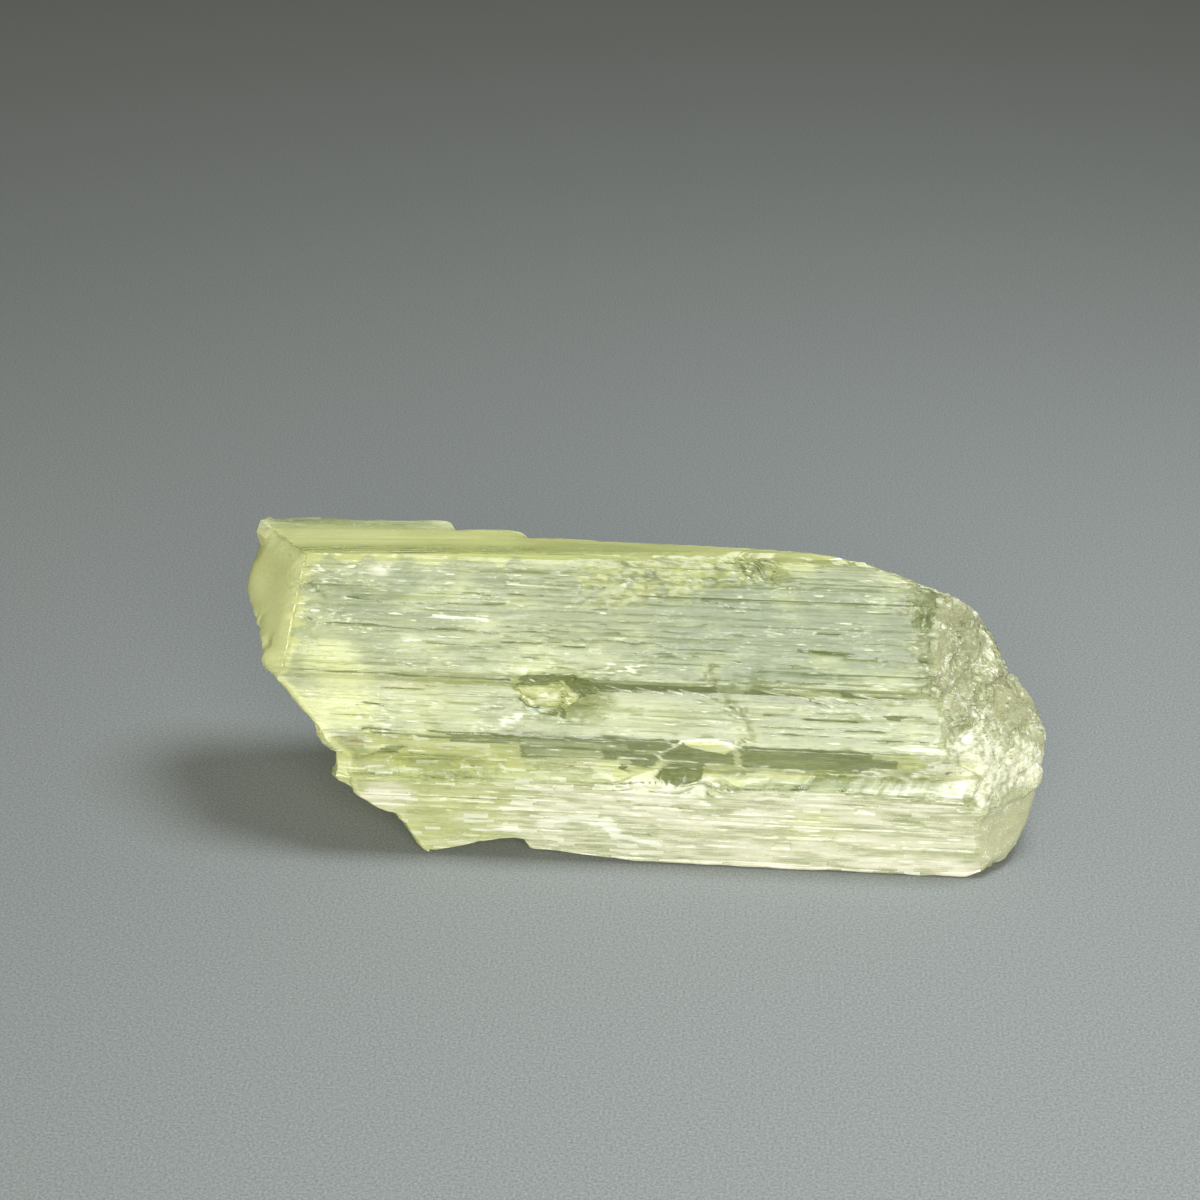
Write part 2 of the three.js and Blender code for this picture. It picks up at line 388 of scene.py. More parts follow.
# ---- Breakage ----
def facets(gem, where, count, low, high, tilt, most, stretch=(1, 1, 1)):
    """A broken surface of tilted facets: each point belongs to the nearest random seed in a box."""
    near = where > 0.001
    points, stretch = gem.place[near], np.array(stretch)
    seeds = gem.rng.uniform(low, high, (count, 3))
    tree = KDTree(count)
    for index, seed in enumerate(seeds / stretch):
        tree.insert(seed, index)
    tree.balance()
    cell = np.array([tree.find(point)[1] for point in points / stretch])
    lean = gem.rng.normal(size=(count, 3)) * tilt / stretch
    offset = gem.rng.uniform(0, most, count)
    depth = np.sum((points - seeds[cell]) * lean[cell], axis=1) + offset[cell]
    gem.depth[near] += np.clip(depth, 0, most) * where[near]
    glint = np.zeros(gem.x.shape)
    glint[near] = gem.rng.random(count)[cell]
    return glint


def bite(gem, place, reach, depth):
    """A rounded hollow around a point in space, or a knob where the depth is negative."""
    away = np.linalg.norm(gem.place - place, axis=2) / reach
    gem.depth += depth * ramp(away, 1, 0)


def seam(gem, points, reach, **masks):
    """A thin line of uneven width through points in space."""
    nearest = np.full(gem.x.shape, np.inf)
    for start, finish in zip(points, points[1:]):
        along = np.subtract(finish, start)
        t = np.clip((gem.place - start) @ along / (along @ along), 0, 1)
        nearest = np.minimum(nearest, np.linalg.norm(gem.place - start - t[..., None] * along, axis=2))
    return gem.paint(ramp(nearest, 1.25 * reach * gem.uneven, 0), masks)


def ragged_seam(gem, points, reach):
    """The same, broken up into flakes."""
    return seam(gem, points, reach) * ramp(gem.hills(0.3, 0.3, (gem.x + gem.y, gem.z)), -0.5, 0.3)


def chips(gem, points, count, reaches, depths):
    """Small bites scattered along a line through points in space."""
    for _ in range(count):
        k = gem.rng.integers(len(points) - 1)
        place = np.array(points[k]) + gem.rng.random() * np.subtract(points[k + 1], points[k])
        bite(gem, place, gem.pick(reaches), gem.pick(depths))


def worn_edges(gem):
    """Every ridge is rounded and chipped, more in some places than in others."""
    ridge = np.clip(gem.standing_out(0.4) - 0.015, 0, 0.3)
    wear = 0.5 + 0.5 * gem.hills(0.8, 1.2, (gem.x, gem.round))
    nicks = ramp(gem.hills(0.35, 0.5, (gem.x, gem.round)), 0.2, 0.7)
    nicks = nicks * ramp(gem.y, 0, -1) * ramp(gem.z, 0, 1.5)
    left_rim = 0.8 * ramp(np.abs(gem.from_left), 5, 0) * gem.facing
    sharp = ramp(gem.normal[..., 1], -0.35, -0.05) * ramp(gem.z, 9, 11) * gem.side
    gem.depth += ridge * (1 - sharp) * (0.7 * wear + 0.8 * nicks + left_rim)
    gem.depth -= 0.7 * ridge * sharp


# ---- The crystal's own surface ----
def zones(gem):
    """Soft areas of colour, before any detail, among them a painted glow and a painted sheen."""
    left_edge = ramp(gem.from_left + 4 * gem.hills(9, 0.15), 0, 9)
    crest = 13.29 + 0.028 * (gem.x + 15.8)
    top_edge = ramp(crest - gem.z + 0.3 * gem.hills(0.6, 9), 0.1, 0.6)
    gem.front = gem.facing * left_edge * top_edge
    clear = (1 - gem.facing) * ramp(gem.y, 4, 1) * ramp(gem.x, 14, 10) * ramp(gem.z, 2, 6)
    gem.olive = 0.9 * clear
    gem.add(olive=0.8 * gem.facing * (1 - gem.front))
    under_crown = gem.facing * (1 - top_edge) * ramp(gem.x, -9, -6)
    gem.tone -= 0.25 * under_crown
    bevel = ramp(gem.from_left, 4, -1) * ramp(gem.y, 3, 1.5) * (1 - gem.crown)
    gem.add(warm=(0.7 + 0.3 * gem.hills(1.5, 1.5, (gem.y, gem.z))) * bevel)
    cloud = 0.15 * gem.hills(1.6, 0.7)
    cool = ramp(gem.x, -2, 3) * ramp(gem.z, 8.6, 9.3) * ramp(gem.z + cloud, 13.1, 12.4)
    gem.add(cool=(0.9 + cloud) * cool * gem.front)
    # A grey-green painted silvery sheen over the upper left of the front.
    painted_sheen = ramp(gem.x, -3, -7) * ramp(gem.z, 9.8, 11.2) * ramp(gem.z, 13, 12.6)
    gem.add(cool=0.55 * painted_sheen * gem.front)
    # Brighter yellow spots on the front: a painted glow of light inside the crystal.
    for x, z, reach, glow in (
        (-14, 9.3, 2.4, 1), (-13.4, 8.4, 2.6, 0.9),
        (-13.5, 7.2, 3.4, 0.9), (-4.6, 9.3, 4.2, 0.5),
        (-10, 7.6, 4, 0.5), (-0.5, 7.4, 5, 0.4),
        (-2.4, 4.4, 6, 0.5),
    ):
        spot(gem, x, z, reach, 0.5 * reach, 0.9, warm=glow)
    spot(gem, 11.6, 12.3, 2.6, 1.1, 0.9, olive=0.5, deep=0.4)
    rim = ramp(np.abs(gem.from_left - 3), 3, 0) * ramp(gem.z, 10.5, 9)
    gem.add(warm=0.8 * rim * gem.facing)
    gem.tone -= 0.16 * gem.front * ramp(gem.z + cloud, 8.4, 9.4)
    gem.tone -= 0.15 * cool * gem.front
    gem.tone -= 0.14 * gem.front * ramp(gem.x, -7, -3) * ramp(gem.z, 6.2, 6.6)
    gem.ribbed = gem.front * (1 - 0.7 * gem.cool)


def front_texture(gem):
    front_lines = gem.lines[gem.facing.mean(axis=1) > 0.2]
    front = (front_lines.min(), front_lines.max())
    striae(gem, gem.ribbed, 600, front, (0.035, 0.09), (0.6, 10), 0.16)
    striae(gem, gem.ribbed, 90, front, (0.1, 0.25), (3, 24), 0.09)
    layers(gem, gem.ribbed, 260, front, (0.15, 0.9), (1, 10), 0.02, 0.07)
    layers(gem, gem.ribbed, 700, front, (0.05, 0.12), (0.8, 8), 0.01, 0.12)
    for count, x_range, z_range, lengths in (
        (8, (-13, -4), (9.9, 12.4), (2, 6)), (12, (-6, 4), (9.2, 10.8), (1.5, 5)),
        (8, (6, 11), (9.2, 10.3), (1, 4)), (4, (0, 11), (10.4, 12), (0.4, 1.6)),
        (14, (-14, 4), (6.3, 8.1), (0.6, 3)), (8, (5, 13), (6.4, 8), (0.6, 3)),
        (16, (-12, 15), (0.6, 4.2), (0.4, 2)), (10, (-15, 13), (4.3, 13), (0.6, 2)),
    ):
        cracks(gem, count, x_range, z_range, lengths)
    flecks(gem, 420, (-15.5, 13), (4.4, 13.1), (0.08, 0.5), (0.03, 0.05))
    flecks(gem, 120, (-11, 15), (0.5, 4.4), (0.2, 0.9), (0.03, 0.1), (0.3, 0.8))


def other_texture(gem):
    """Weaker striae on the crown, the back and the underside."""
    whole = (0, gem.lines[-1])
    behind = gem.side * (1 - gem.facing) * (1 - gem.crown)
    striae(gem, behind, 260, whole, (0.2, 0.5), (3, 24), 0.2)
    layers(gem, behind, 140, whole, (0.3, 2), (2, 18), 0.07, 0.12)
    gem.add(front=behind * ramp(gem.hills(7, 3, (gem.x, gem.round)), -0.7, 0.3), blocky=0.5 * behind)
    for mask, strength, length, height in (
        ("cool", 0.7, 6, 2), ("rose", 0.5, 5, 1.5),
        ("warm", 0.6, 7, 3), ("deep", 0.4, 8, 1),
    ):
        cloud = ramp(gem.hills(length, height, (gem.x, gem.round)), 0.1, 0.7)
        gem.add(**{mask: strength * behind * cloud})
    striae(gem, gem.crown * gem.side, 30, whole, (0.25, 0.6), (6, 30), 0.05)
    layers(gem, gem.crown * gem.side, 60, whole, (0.31, 0.8), (3, 16), 0.01, 0.06)
    behind_edge = gem.y + 0.85 - 0.0125 * (gem.x + 15.6)
    band = gem.crown * ramp(behind_edge + 0.2 * gem.hills(3, 0.3, (gem.x, gem.y)), 1.2, 0.5)
    band = band * ramp(gem.x, 6, -8)
    gem.add(olive=0.8 * gem.crown * ramp(gem.x, -9, -5))
    gem.tone -= 0.35 * band + 0.4 * gem.crown * ramp(gem.x, -7, -4)
    gem.add(tan=0.35 * gem.crown * ramp(gem.x, -6, -2), deep=0.35 * band, front=0.5 * band)
    bright = gem.crown * ramp(np.abs(behind_edge - 0.2), 0.12, 0) * ramp(gem.x, -2, -5)
    gem.add(chalk=0.35 * bright * (0.5 + 0.5 * gem.hills(0.8, 9, (gem.x, gem.y))))
    clouds = gem.hills(2, 1.2, (gem.x, gem.y))
    gem.add(warm=0.45 * gem.crown * ramp(clouds + ramp(gem.x, -8, -16), 0, 0.8) * (1 - band))


def upper_face(gem):
    """The broad face above the dark line, with painted highlights and a painted sheen."""
    # A painted highlight where a stria catches the light, and a weaker painted sheen above it.
    flake(gem, [(-9.3, 11.04), (-8.2, 11.0), (-6.9, 10.95)], 0.09, 1)
    spot(gem, -8.4, 11.0, 0.9, 0.11, 0.8, chalk=1)
    flake(gem, [(-6.1, 12.35), (-4.1, 12.28)], 0.1, 0.5)
    flecks(gem, 22, (-1.9, -0.1), (9.0, 9.4), (0.1, 0.35), (0.03, 0.07), (0.5, 0.9))
    # A painted silvery sheen near the crown's left end: a milky spot and bright flecks.
    spot(gem, -11.9, 12.7, 1.1, 0.4, 0.8, rose=0.6)
    flecks(gem, 30, (-15.3, -10.5), (12.3, 13), (0.1, 0.5), (0.03, 0.08))
    for points in (
        [(-13.4, 11.66), (-12.2, 11.6), (-11.8, 11.45), (-6.2, 11.55)],
        [(-15.2, 11.0), (-14.8, 10.62), (-10, 10.55), (-6.3, 10.42)],
        [(-9.9, 9.97), (-5.4, 9.9)],
        [(-6.4, 10.72), (-3.3, 10.66)], [(-6.3, 10.12), (-2.5, 10)],
        [(-5.4, 9.6), (-2.7, 9.45)], [(-1.8, 9.85), (2.6, 9.8)],
    ):
        crack(gem, points, 0.05, 0.85)
    crack(gem, [(-0.5, 10.3), (3.5, 10.1)], 0.1, 0.8)
    crack(gem, [(7, 10.2), (9.6, 10.05), (12.8, 10)], 0.11, 0.8)
    crack(gem, [(-15, 12.2), (-14.8, 11.9), (-14.4, 11.6)], 0.13, 0.55, 0.05)
    crack(gem, [(2.5, 12.14), (4.1, 11.77), (4.7, 11.5)], 0.06, 0.6)
    crack(gem, [(6.3, 11.76), (6.5, 11.4), (7, 10.9)], 0.08, 0.45)


def upper_breaks(gem):
    """The granular gold patch under the crown and the broken notch in the crown's edge."""
    grainy = patch(gem, [(-3.2, 11.6), (-1.2, 11.6), (2.2, 12.25), (4.6, 12.75), (5, 13.6), (-3, 13.4)], 0.3)
    glint = facets(gem, grainy, 2500, (-4, -3, 11), (5.5, 0, 13.8), 0.35, 0.03, (1.5, 1, 1))
    gem.fade(grainy, "cool")
    gem.add(olive=0.85 * grainy * ramp(glint, 0.9, 0.5), tan=0.5 * grainy * ramp(glint, 0.7, 0.2))
    gem.tone -= 0.15 * grainy + 0.25 * grainy * ramp(glint, 0.5, 0.2)
    gem.add(chalk=0.55 * grainy * ramp(glint, 0.92, 0.98))
    notch = patch(gem, [(4.1, 12.8), (5.9, 12.7), (6.2, 13.9), (3.9, 13.9)], 0.3)
    glint = facets(gem, notch, 120, (3.6, -2, 12.3), (6.2, 0, 14), 0.6, 0.1, (0.7, 1, 1.3))
    gem.add(warm=0.6 * notch * ramp(glint, 0.2, 0.5), olive=0.8 * block(gem, 5.6, 7.6, 13.1, 13.9, 0.3))
    for points, reach in (
        ([(4.2, 13.6), (4.5, 13.25)], 0.12), ([(5.2, 13.8), (5.5, 13.5)], 0.14),
        ([(5.65, 13.35), (5.7, 12.8)], 0.07), ([(4.6, 13.05), (4.75, 12.85)], 0.09),
        ([(5.05, 13.7), (5.1, 13.3)], 0.06),
    ):
        crack(gem, points, reach, 0.8, 0.06)
    for x, z in ((4.9, 13.05), (5.2, 13.4), (4.5, 13.0)):
        spot(gem, x, z, 0.16, 0.09, 0.8, chalk=0.9)


def dark_line(gem):
    """The re-entrant step under the upper face, darkened with painted shade."""
    crack(gem, [(-15.3, 8.68), (-11, 8.6), (-5.8, 8.55)], 0.07, 1)
    left = block(gem, -10.2, -5.2, 8.0, 8.55) * (0.7 + 0.5 * gem.hills(0.7, 0.15))
    gem.add(olive=0.9 * left, deep=0.4 * left)
    gem.tone -= 0.35 * left
    block(gem, -2.4, 3.4, 8.05, 8.62, deep=0.85)
    for corners, dark in (
        ([(4.5, 8.25), (6.8, 7.95), (8.3, 7.78), (8.6, 7.95), (7, 8.35), (5, 8.5)], 0.85),
        ([(8.5, 7.98), (10.5, 7.82), (10.6, 8.02), (8.6, 8.18)], 0.7),
        ([(8.9, 8.28), (12.6, 8.12), (12.6, 8.32), (9, 8.6)], 0.72),
    ):
        patch(gem, corners, 0.05, deep=dark)
    crack(gem, [(3.6, 8.75), (7.4, 8.68), (12.4, 8.6)], 0.06, 0.6)
    for start, finish in (
        ((5.5, 8.5), (8.8, 7.85)), ((6.8, 8.6), (10.4, 7.9)),
        ((7.6, 8.4), (9.4, 8.05)), ((9.5, 8.5), (11.6, 8.15)),
    ):
        flake(gem, [start, finish], 0.05, 0.6)
    for x in (-1.6, -0.2, 0.6, 1.7):
        rise = gem.rng.uniform(0.2, 0.4)
        flake(gem, [(x, 8.15 + rise), (x + 1.3, 8.12)], 0.04, 0.8)


def pit(gem):
    """A broken hollow in the dark line, with painted shade along its top and right side and pale facets low
    in the middle.
    """
    top = [(-5.9, 8.6), (-5.4, 8.78), (-4.4, 8.9), (-3.5, 8.88), (-2.7, 8.78), (-2.1, 8.45), (-1.8, 8.25)]
    bottom = [(-5.5, 7.7), (-5, 7.45), (-4.4, 7.22), (-3.7, 7.15), (-3.3, 7.1), (-2.9, 7.35), (-1.9, 7.9)]
    dark_top = [(-5.4, 8.15), (-4.5, 8.0), (-3.4, 8.05), (-2.6, 8.9), (-4.4, 9), (-5.6, 8.7)]
    dark_right = [(-2.9, 7.5), (-1.9, 7.85), (-1.85, 8.4), (-2.6, 8.9), (-3.4, 8.1)]
    hollow = patch(gem, bottom + top[::-1], 0.1)
    glint = facets(gem, hollow, 160, (-6, -4.5, 6.8), (-1.5, -2, 9), 0.6, 0.12, (1.6, 1, 0.8))
    gem.fade(hollow, "cool", "warm", "chalk")
    gem.add(olive=0.9 * hollow)
    gem.tone -= 0.2 * hollow * ramp(glint, 0.3, 0.7)
    # Painted shade inside the hollow, along its top and right side.
    patch(gem, dark_top, deep=0.65)
    patch(gem, dark_right, deep=0.7)
    facet = patch(gem, [(-4.65, 7.36), (-3.7, 7.3), (-3.62, 7.8), (-4.15, 7.8), (-4.86, 7.5)], 0.03)
    gem.add(warm=facet, rose=0.5 * facet)
    gem.fade(facet, "deep")
    crack(gem, [(-5.5, 7.68), (-5, 7.42), (-4.4, 7.2), (-3.7, 7.14)], 0.06)
    crack(gem, [(-3.6, 7.8), (-3.5, 7.3), (-3.68, 7.2), (-3.3, 7.1)], 0.06)
    flake(gem, [(-4.5, 7.24), (-3.8, 7.2)])
    flake(gem, [(-3.4, 7.5), (-3.1, 7.15)])
    flake(gem, [(-3.6, 8.2), (-3.2, 7.9), (-3.1, 7.5)])
    for x, z in ((-4.95, 7.95), (-4.9, 7.55), (-3.75, 8.45), (-5.4, 7.85)):
        spot(gem, x, z, 0.13, 0.1, 0.8, chalk=0.9)
    oval = stroke(gem, [(-6.05, 6.88), (-5.4, 7.05)], 0.34)
    gem.add(chalk=0.9 * oval * (0.8 + 0.4 * gem.hills(0.25, 0.08)))


def cross_break(gem):
    """A brownish fracture that runs down across the faces."""
    path = [(3.05, 9.1), (3.6, 8.1), (4.0, 7.7), (4.7, 7.2), (4.9, 6.6), (4.55, 6), (4.5, 5.1)]
    near = stroke(gem, path, 0.5)
    glint = facets(gem, near, 500, (2.6, -5, 4.8), (5.4, -2.5, 9.6), 0.5, 0.06, (0.7, 1, 1.2))
    gem.add(tan=0.45 * near * ramp(glint, 0.6, 0.3), chalk=0.6 * near * ramp(glint, 0.8, 0.95))
    crack(gem, path, 0.045, 0.3)


def lower_band(gem):
    """The pale band between the dark line and the groove."""
    for points in (
        [(5.6, 7.05), (8, 7), (10.9, 6.95)],
        [(5.8, 6.78), (9, 6.72), (13.4, 6.62)],
        [(5.5, 7.42), (9.7, 7.3)],
        [(10.8, 7.58), (11.3, 7.62), (12.5, 7.56)],
        [(-12.4, 7.3), (-11.5, 7.25)],
        [(-12.5, 6.28), (-9, 6.33), (-5.7, 6.2)],
    ):
        crack(gem, points, 0.06, 0.9)
    gem.add(deep=0.8 * spot(gem, 11.4, 7.57, 0.6, 0.13), chalk=0.6 * spot(gem, 12.2, 6.4, 1.4, 0.16))


def groove(gem):
    """The long re-entrant groove: windows into clear crystal, darkened with painted shade, between lighter
    plates.
    """
    block(gem, -12.4, -5.2, 4.4, 6.2, 0.15, olive=0.7)
    ledge_left = block(gem, -13, 3, 4.1, 5.1, 0.15)
    gem.tone -= 0.3 * ledge_left * ramp(gem.x, -5, -9)
    gem.tone -= 0.15 * block(gem, 3, 10, 4.2, 5, 0.15)
    gem.add(warm=0.5 * ledge_left * ramp(gem.x, -9, -6))
    glint = facets(gem, ledge_left, 400, (-13, -5, 4), (3, -3.5, 5.2), 0.12, 0.03, (3, 1, 1))
    gem.add(olive=0.8 * ledge_left * ramp(glint, 0.3, 0.6) * ramp(gem.x, -4, -8))
    gem.add(deep=0.4 * ledge_left * ramp(glint, 0.8, 0.9))
    patch(gem, [(-12.6, 4.75), (-11, 4.9), (-10.3, 5.45), (-11.4, 5.4)], deep=0.6)
    block(gem, -12, -8, 6.0, 6.2, deep=0.6)
    block(gem, -8.6, -5.2, 5.8, 6.35, deep=0.65)
    block(gem, -5.3, 4.3, 5.1, 6.4, deep=0.9)
    for sides in ((-5.2, -0.4, 5.75, 6.1), (-5.1, -1.6, 5.2, 5.6), (-0.2, 1.2, 5.55, 5.75)):
        window = block(gem, *sides)
        gem.fade(0.85 * window, "deep")
        gem.add(cool=window)
    block(gem, 4.6, 10.4, 5.0, 6.2, deep=0.95)
    block(gem, 9.8, 11.6, 5.2, 5.8, deep=0.8)
    clearer = 0.3 * ramp(gem.hills(1.3, 0.12), 0, 0.8) * block(gem, -6, 11, 4.8, 6.4)
    gem.fade(clearer, "deep")
    block(gem, 11.2, 13, 5.3, 6.1, olive=0.9)
    for points in (
        [(-12.7, 4.75), (-11.2, 5.5), (-10, 6.1)],
        [(-11.6, 4.6), (-10.2, 5.3), (-8.8, 5.9)],
        [(-8.4, 4.6), (-6.6, 5.2)],
    ):
        flake(gem, points, 0.05, 0.7)
    crack(gem, [(-12.4, 4.62), (-9.5, 4.55), (-7, 4.6)], 0.06, 0.7)
    spot(gem, -12.8, 5.6, 0.45, 0.14, stain=0.8)


def groove_plates(gem):
    """Broken cream plates that lean across the groove, with dark gaps of painted shade, and the ledge below
    it.
    """
    gaps = (
        [(-0.35, 4.8), (0.72, 4.83), (0.72, 5.22), (-0.35, 5.16)],
        [(0.7, 4.4), (2.95, 4.3), (2.95, 5.25), (1.43, 5.0)],
        [(-1.5, 4.62), (-0.7, 4.6), (-0.5, 4.8), (-0.9, 4.85)],
    )
    for corners in gaps:
        gap = patch(gem, corners, 0.04)
        gem.fade(gap, "warm")
        gem.add(olive=gap, deep=0.8 * gap)
    plates = (
        [(-2.05, 4.5), (-1.4, 4.5), (-0.86, 4.76), (-0.82, 5.01), (-1.54, 4.97), (-2.03, 4.71)],
        [(-0.86, 4.4), (-0.72, 4.2), (0.24, 4.18), (0.5, 4.36), (0.75, 4.8), (-0.46, 4.75)],
        [(0.5, 4.36), (1.16, 4.9), (1.11, 5.12), (0.7, 4.83)],
        [(2.93, 4.32), (3.47, 4.36), (3.87, 4.59), (3.63, 4.75), (2.88, 4.65)],
        [(2.3, 6.0), (3.9, 5.75), (4.4, 6.0), (3.3, 6.38), (1.9, 6.3)],
        [(3.1, 4.17), (5.5, 4.4), (7.8, 4.42), (7.9, 4.78), (5.5, 4.8), (3.9, 4.6)],
    )
    for corners in plates:
        plate = patch(gem, corners, 0.03)
        gem.fade(plate, "deep", "olive")
        gem.tone += (0.75 - gem.tone) * plate
        gem.add(warm=0.85 * plate)
        gem.depth -= 0.02 * plate
    for points in (
        [(1.11, 5.1), (0.9, 5.5), (1.45, 5.98), (1.9, 6.32), (3.3, 6.42), (4.3, 6.1)],
        [(-0.9, 4.9), (-0.85, 5.25), (0.4, 5.3)],
        [(1.2, 5.2), (2.6, 5.15)],
    ):
        flake(gem, points, 0.1, 0.75)
    for points in (
        [(-1.8, 4.35), (-0.75, 4.22), (0.3, 4.2), (1.7, 4.26), (3.1, 4.2)],
        [(3.1, 4.1), (5.5, 4.34), (7.6, 4.36)],
        [(8.4, 4.5), (8.9, 4.48), (9.5, 4.3)],
    ):
        crack(gem, points, 0.055, 0.8)
    grainy = patch(gem, [(9.8, 4.2), (12.6, 4.2), (12.7, 5.0), (10.1, 5.1), (9.7, 4.8)], 0.05)
    glint = facets(gem, grainy, 200, (9.6, -5, 4), (12.8, -4, 5.3), 0.25, 0.04, (2, 1, 1))
    gem.add(rose=0.45 * grainy, chalk=0.4 * grainy * ramp(glint, 0.75, 1))
    gem.tone -= 0.5 * grainy * ramp(glint, 0.5, 0.2)
    gem.fade(grainy, "deep")
    dim = block(gem, 7.9, 9.8, 4.2, 5, 0.15) + 0.6 * block(gem, 12.5, 13.6, 4.3, 4.9, 0.15)
    gem.tone -= 0.3 * dim
    gem.add(olive=0.5 * dim)
    flecks(gem, 60, (4.4, 13), (4.7, 5.2), (0.05, 0.3), (0.03, 0.07))


def lower_face(gem):
    """The lowest face is milky, faintly pink and full of small rectangular breaks."""
    low = ramp(gem.z, 4.5, 4.2) * gem.facing
    cloud = 0.5 + 0.35 * gem.hills(2.4, 0.6) + 0.3 * gem.hills(0.9, 0.14)
    gem.add(rose=low * np.clip(cloud + 0.12, 0.42, 1) * ramp(gem.x, -9, -3))
    spot(gem, -11.4, 3.2, 1.9, 1.1, 0.7, rose=0.9)
    gem.add(rose=0.5 * spot(gem, 11.8, 2, 2.4, 1.2, 0.8) * low)
    plates = gem.facing * ramp(gem.z, 6.4, 6.1) * (1 - low)
    smoother = spot(gem, 7, 1.8, 9, 2.2, 0.6) + spot(gem, 14, 1.8, 2.6, 2.2, 0.6)
    gem.add(blocky=low * (1 - 0.7 * np.minimum(smoother, 1)) + 0.7 * plates)
    gem.add(blocky=0.25 * gem.front)
    gem.tone += 0.3 * spot(gem, -11.4, 3, 2.4, 1.4, 0.9)
    gem.add(warm=0.7 * spot(gem, 8, 2.8, 2.6, 1.6, 0.9) + 0.6 * low * ramp(gem.x, -3, -6))
    gem.add(olive=0.4 * low * ramp(gem.x, -5.2, -6) * ramp(gem.z, 1.5, 1.1))
    flake(gem, [(-7.6, 1.5), (-5.4, 1.5)], 0.13, 1)
    for points, reach, white in (
        ([(-4.4, 2.1), (-2.6, 2.4), (-1.5, 2.2)], 0.45, 0.6),
        ([(-1.4, 2.15), (-1.0, 1.5)], 0.45, 1), ([(-1.0, 1.5), (0.9, 1.1)], 0.25, 0.8),
        ([(0.5, 3.5), (3.2, 3.4)], 0.2, 0.5), ([(-3, 3.7), (0.2, 3.6)], 0.18, 0.5),
        ([(3, 1.2), (5.5, 1.1)], 0.15, 0.5),
    ):
        stroke(gem, points, reach, chalk=white)
    chalky = facets(gem, low, 520, (-13, -5, 0), (16, -4.5, 4.5), 0.008, 0.018, (6, 1, 1))
    low_lines = gem.lines[(low > 0.5).any(axis=1)]
    layers(gem, low, 90, (low_lines.min(), low_lines.max()), (0.12, 0.7), (1, 7), 0.025, 0.06)
    gem.tone += low * (0.12 * chalky + 0.12)
    gem.add(chalk=0.4 * low * ramp(chalky, 0.8, 0.95) * ramp(cloud, 0.3, 0.7))
    for x, z, width, height in (
        (11.5, 2.6, 1.4, 0.3), (9.8, 3.2, 0.9, 0.25),
        (13.6, 3.6, 1.6, 0.2), (6.2, 1.1, 0.8, 0.4),
    ):
        # Each recess is carved in and darkened with painted shade.
        shaded_recess = block(gem, x, x + width, z, z + height, 0.04)
        gem.depth += 0.08 * shaded_recess
        gem.tone -= 0.3 * shaded_recess
    for points in (
        [(-8.6, 3.1), (-6.2, 3.15)],
        [(-1.2, 3.95), (1.6, 3.9), (3.2, 3.8)],
        [(-0.2, 3.2), (1.9, 3.1)],
        [(12.9, 3.95), (14.6, 3.9), (15.8, 3.9)],
        [(14, 2.2), (15.6, 2.1)],
    ):
        crack(gem, points, 0.07, 0.7)
    gem.fade(0.65 * low, "front")
    crack(gem, [(6.9, 3.6), (7, 0.9)], 0.04, 0.3)
    crack(gem, [(9.7, 3.4), (9.8, 0.8)], 0.04, 0.3)


def broken_end(gem):
    """The right end: a tan break above, a white block in the middle and a smooth facet below."""
    ragged = 0.4 * gem.hills(0.5, 0.3)
    broken = ramp(gem.normal[..., 0] + 0.2 * ragged, 0.2, 0.45) * ramp(gem.x, 6, 9)
    smooth = ramp(gem.z + ragged, 3.9, 3.2)
    rough = broken * (1 - 0.9 * smooth)
    low, high = (11, -5.5, -0.5), (19, 5.5, 13.8)
    facets(gem, rough, 220, low, high, 0.2, 0.2)
    gem.depth -= 0.12 * rough
    edge = 12 + 0.6 * np.maximum(10.6 - gem.z, 0)  # where the front ends
    teeth = gem.hills(0.5, 0.2)
    spill = gem.facing * ramp(gem.x - edge + 0.8 * teeth, -1, 0.3) * ramp(gem.z, 4.5, 6.5)
    white_block = gem.facing * ramp(gem.x + 0.7 * teeth, 12.4, 13.1) * ramp(gem.z + 0.2 * teeth, 4.15, 4.35)
    white_block = white_block * ramp(gem.z + 0.3 * teeth, 6.9, 6.5)
    chipped = np.maximum(np.maximum(rough, spill), white_block)
    glint = facets(gem, chipped, 100000, (11.5, -5, 4), (18.5, 3, 13.8), 0.3, 0.02)
    upper = ramp(gem.z + ragged + 0.5 * ramp(gem.x, 14.5, 16.5) * (gem.x - 14.5), 6.5, 7.1)
    # sparkle picks the break's facets that get painted glints.
    sparkle = ramp(glint, 0.86, 1)
    calm = 0.8 * ramp(gem.hills(0.9, 0.7, (gem.x + gem.y, gem.z)), 0, 0.4)
    bare = ramp(np.linalg.norm(gem.place - (16.7, -0.8, 6.9), axis=2), 1.3, 0.9)
    calm = np.maximum(calm, bare)
    gem.add(frost=chipped * (1 - 0.8 * calm * upper) * (1 - 0.45 * (1 - upper)))
    gem.add(tan=chipped * upper * (0.5 + 0.3 * glint) * (1 - sparkle))
    gem.add(chalk=chipped * upper * 0.8 * sparkle * (1 - calm))
    gem.add(rose=chipped * (1 - upper) * (0.35 + 0.45 * glint))
    gem.add(chalk=chipped * (1 - upper) * 0.4 * ramp(glint, 0.75, 1))
    gem.fade(white_block, "deep", "olive")
    lemon = ramp(np.hypot((gem.x - 14.6) / 1.1, (gem.z - 5.1) / 0.8), 1, 0.5) * ramp(gem.y, 0, -2)
    gem.add(warm=0.7 * chipped * lemon, deep=0.9 * stroke(gem, [(13.75, 5.1), (14.05, 5.3)], 0.12))
    broken_flakes(gem, chipped, upper * (1 - bare))
    smooth_facet(gem, broken * smooth)


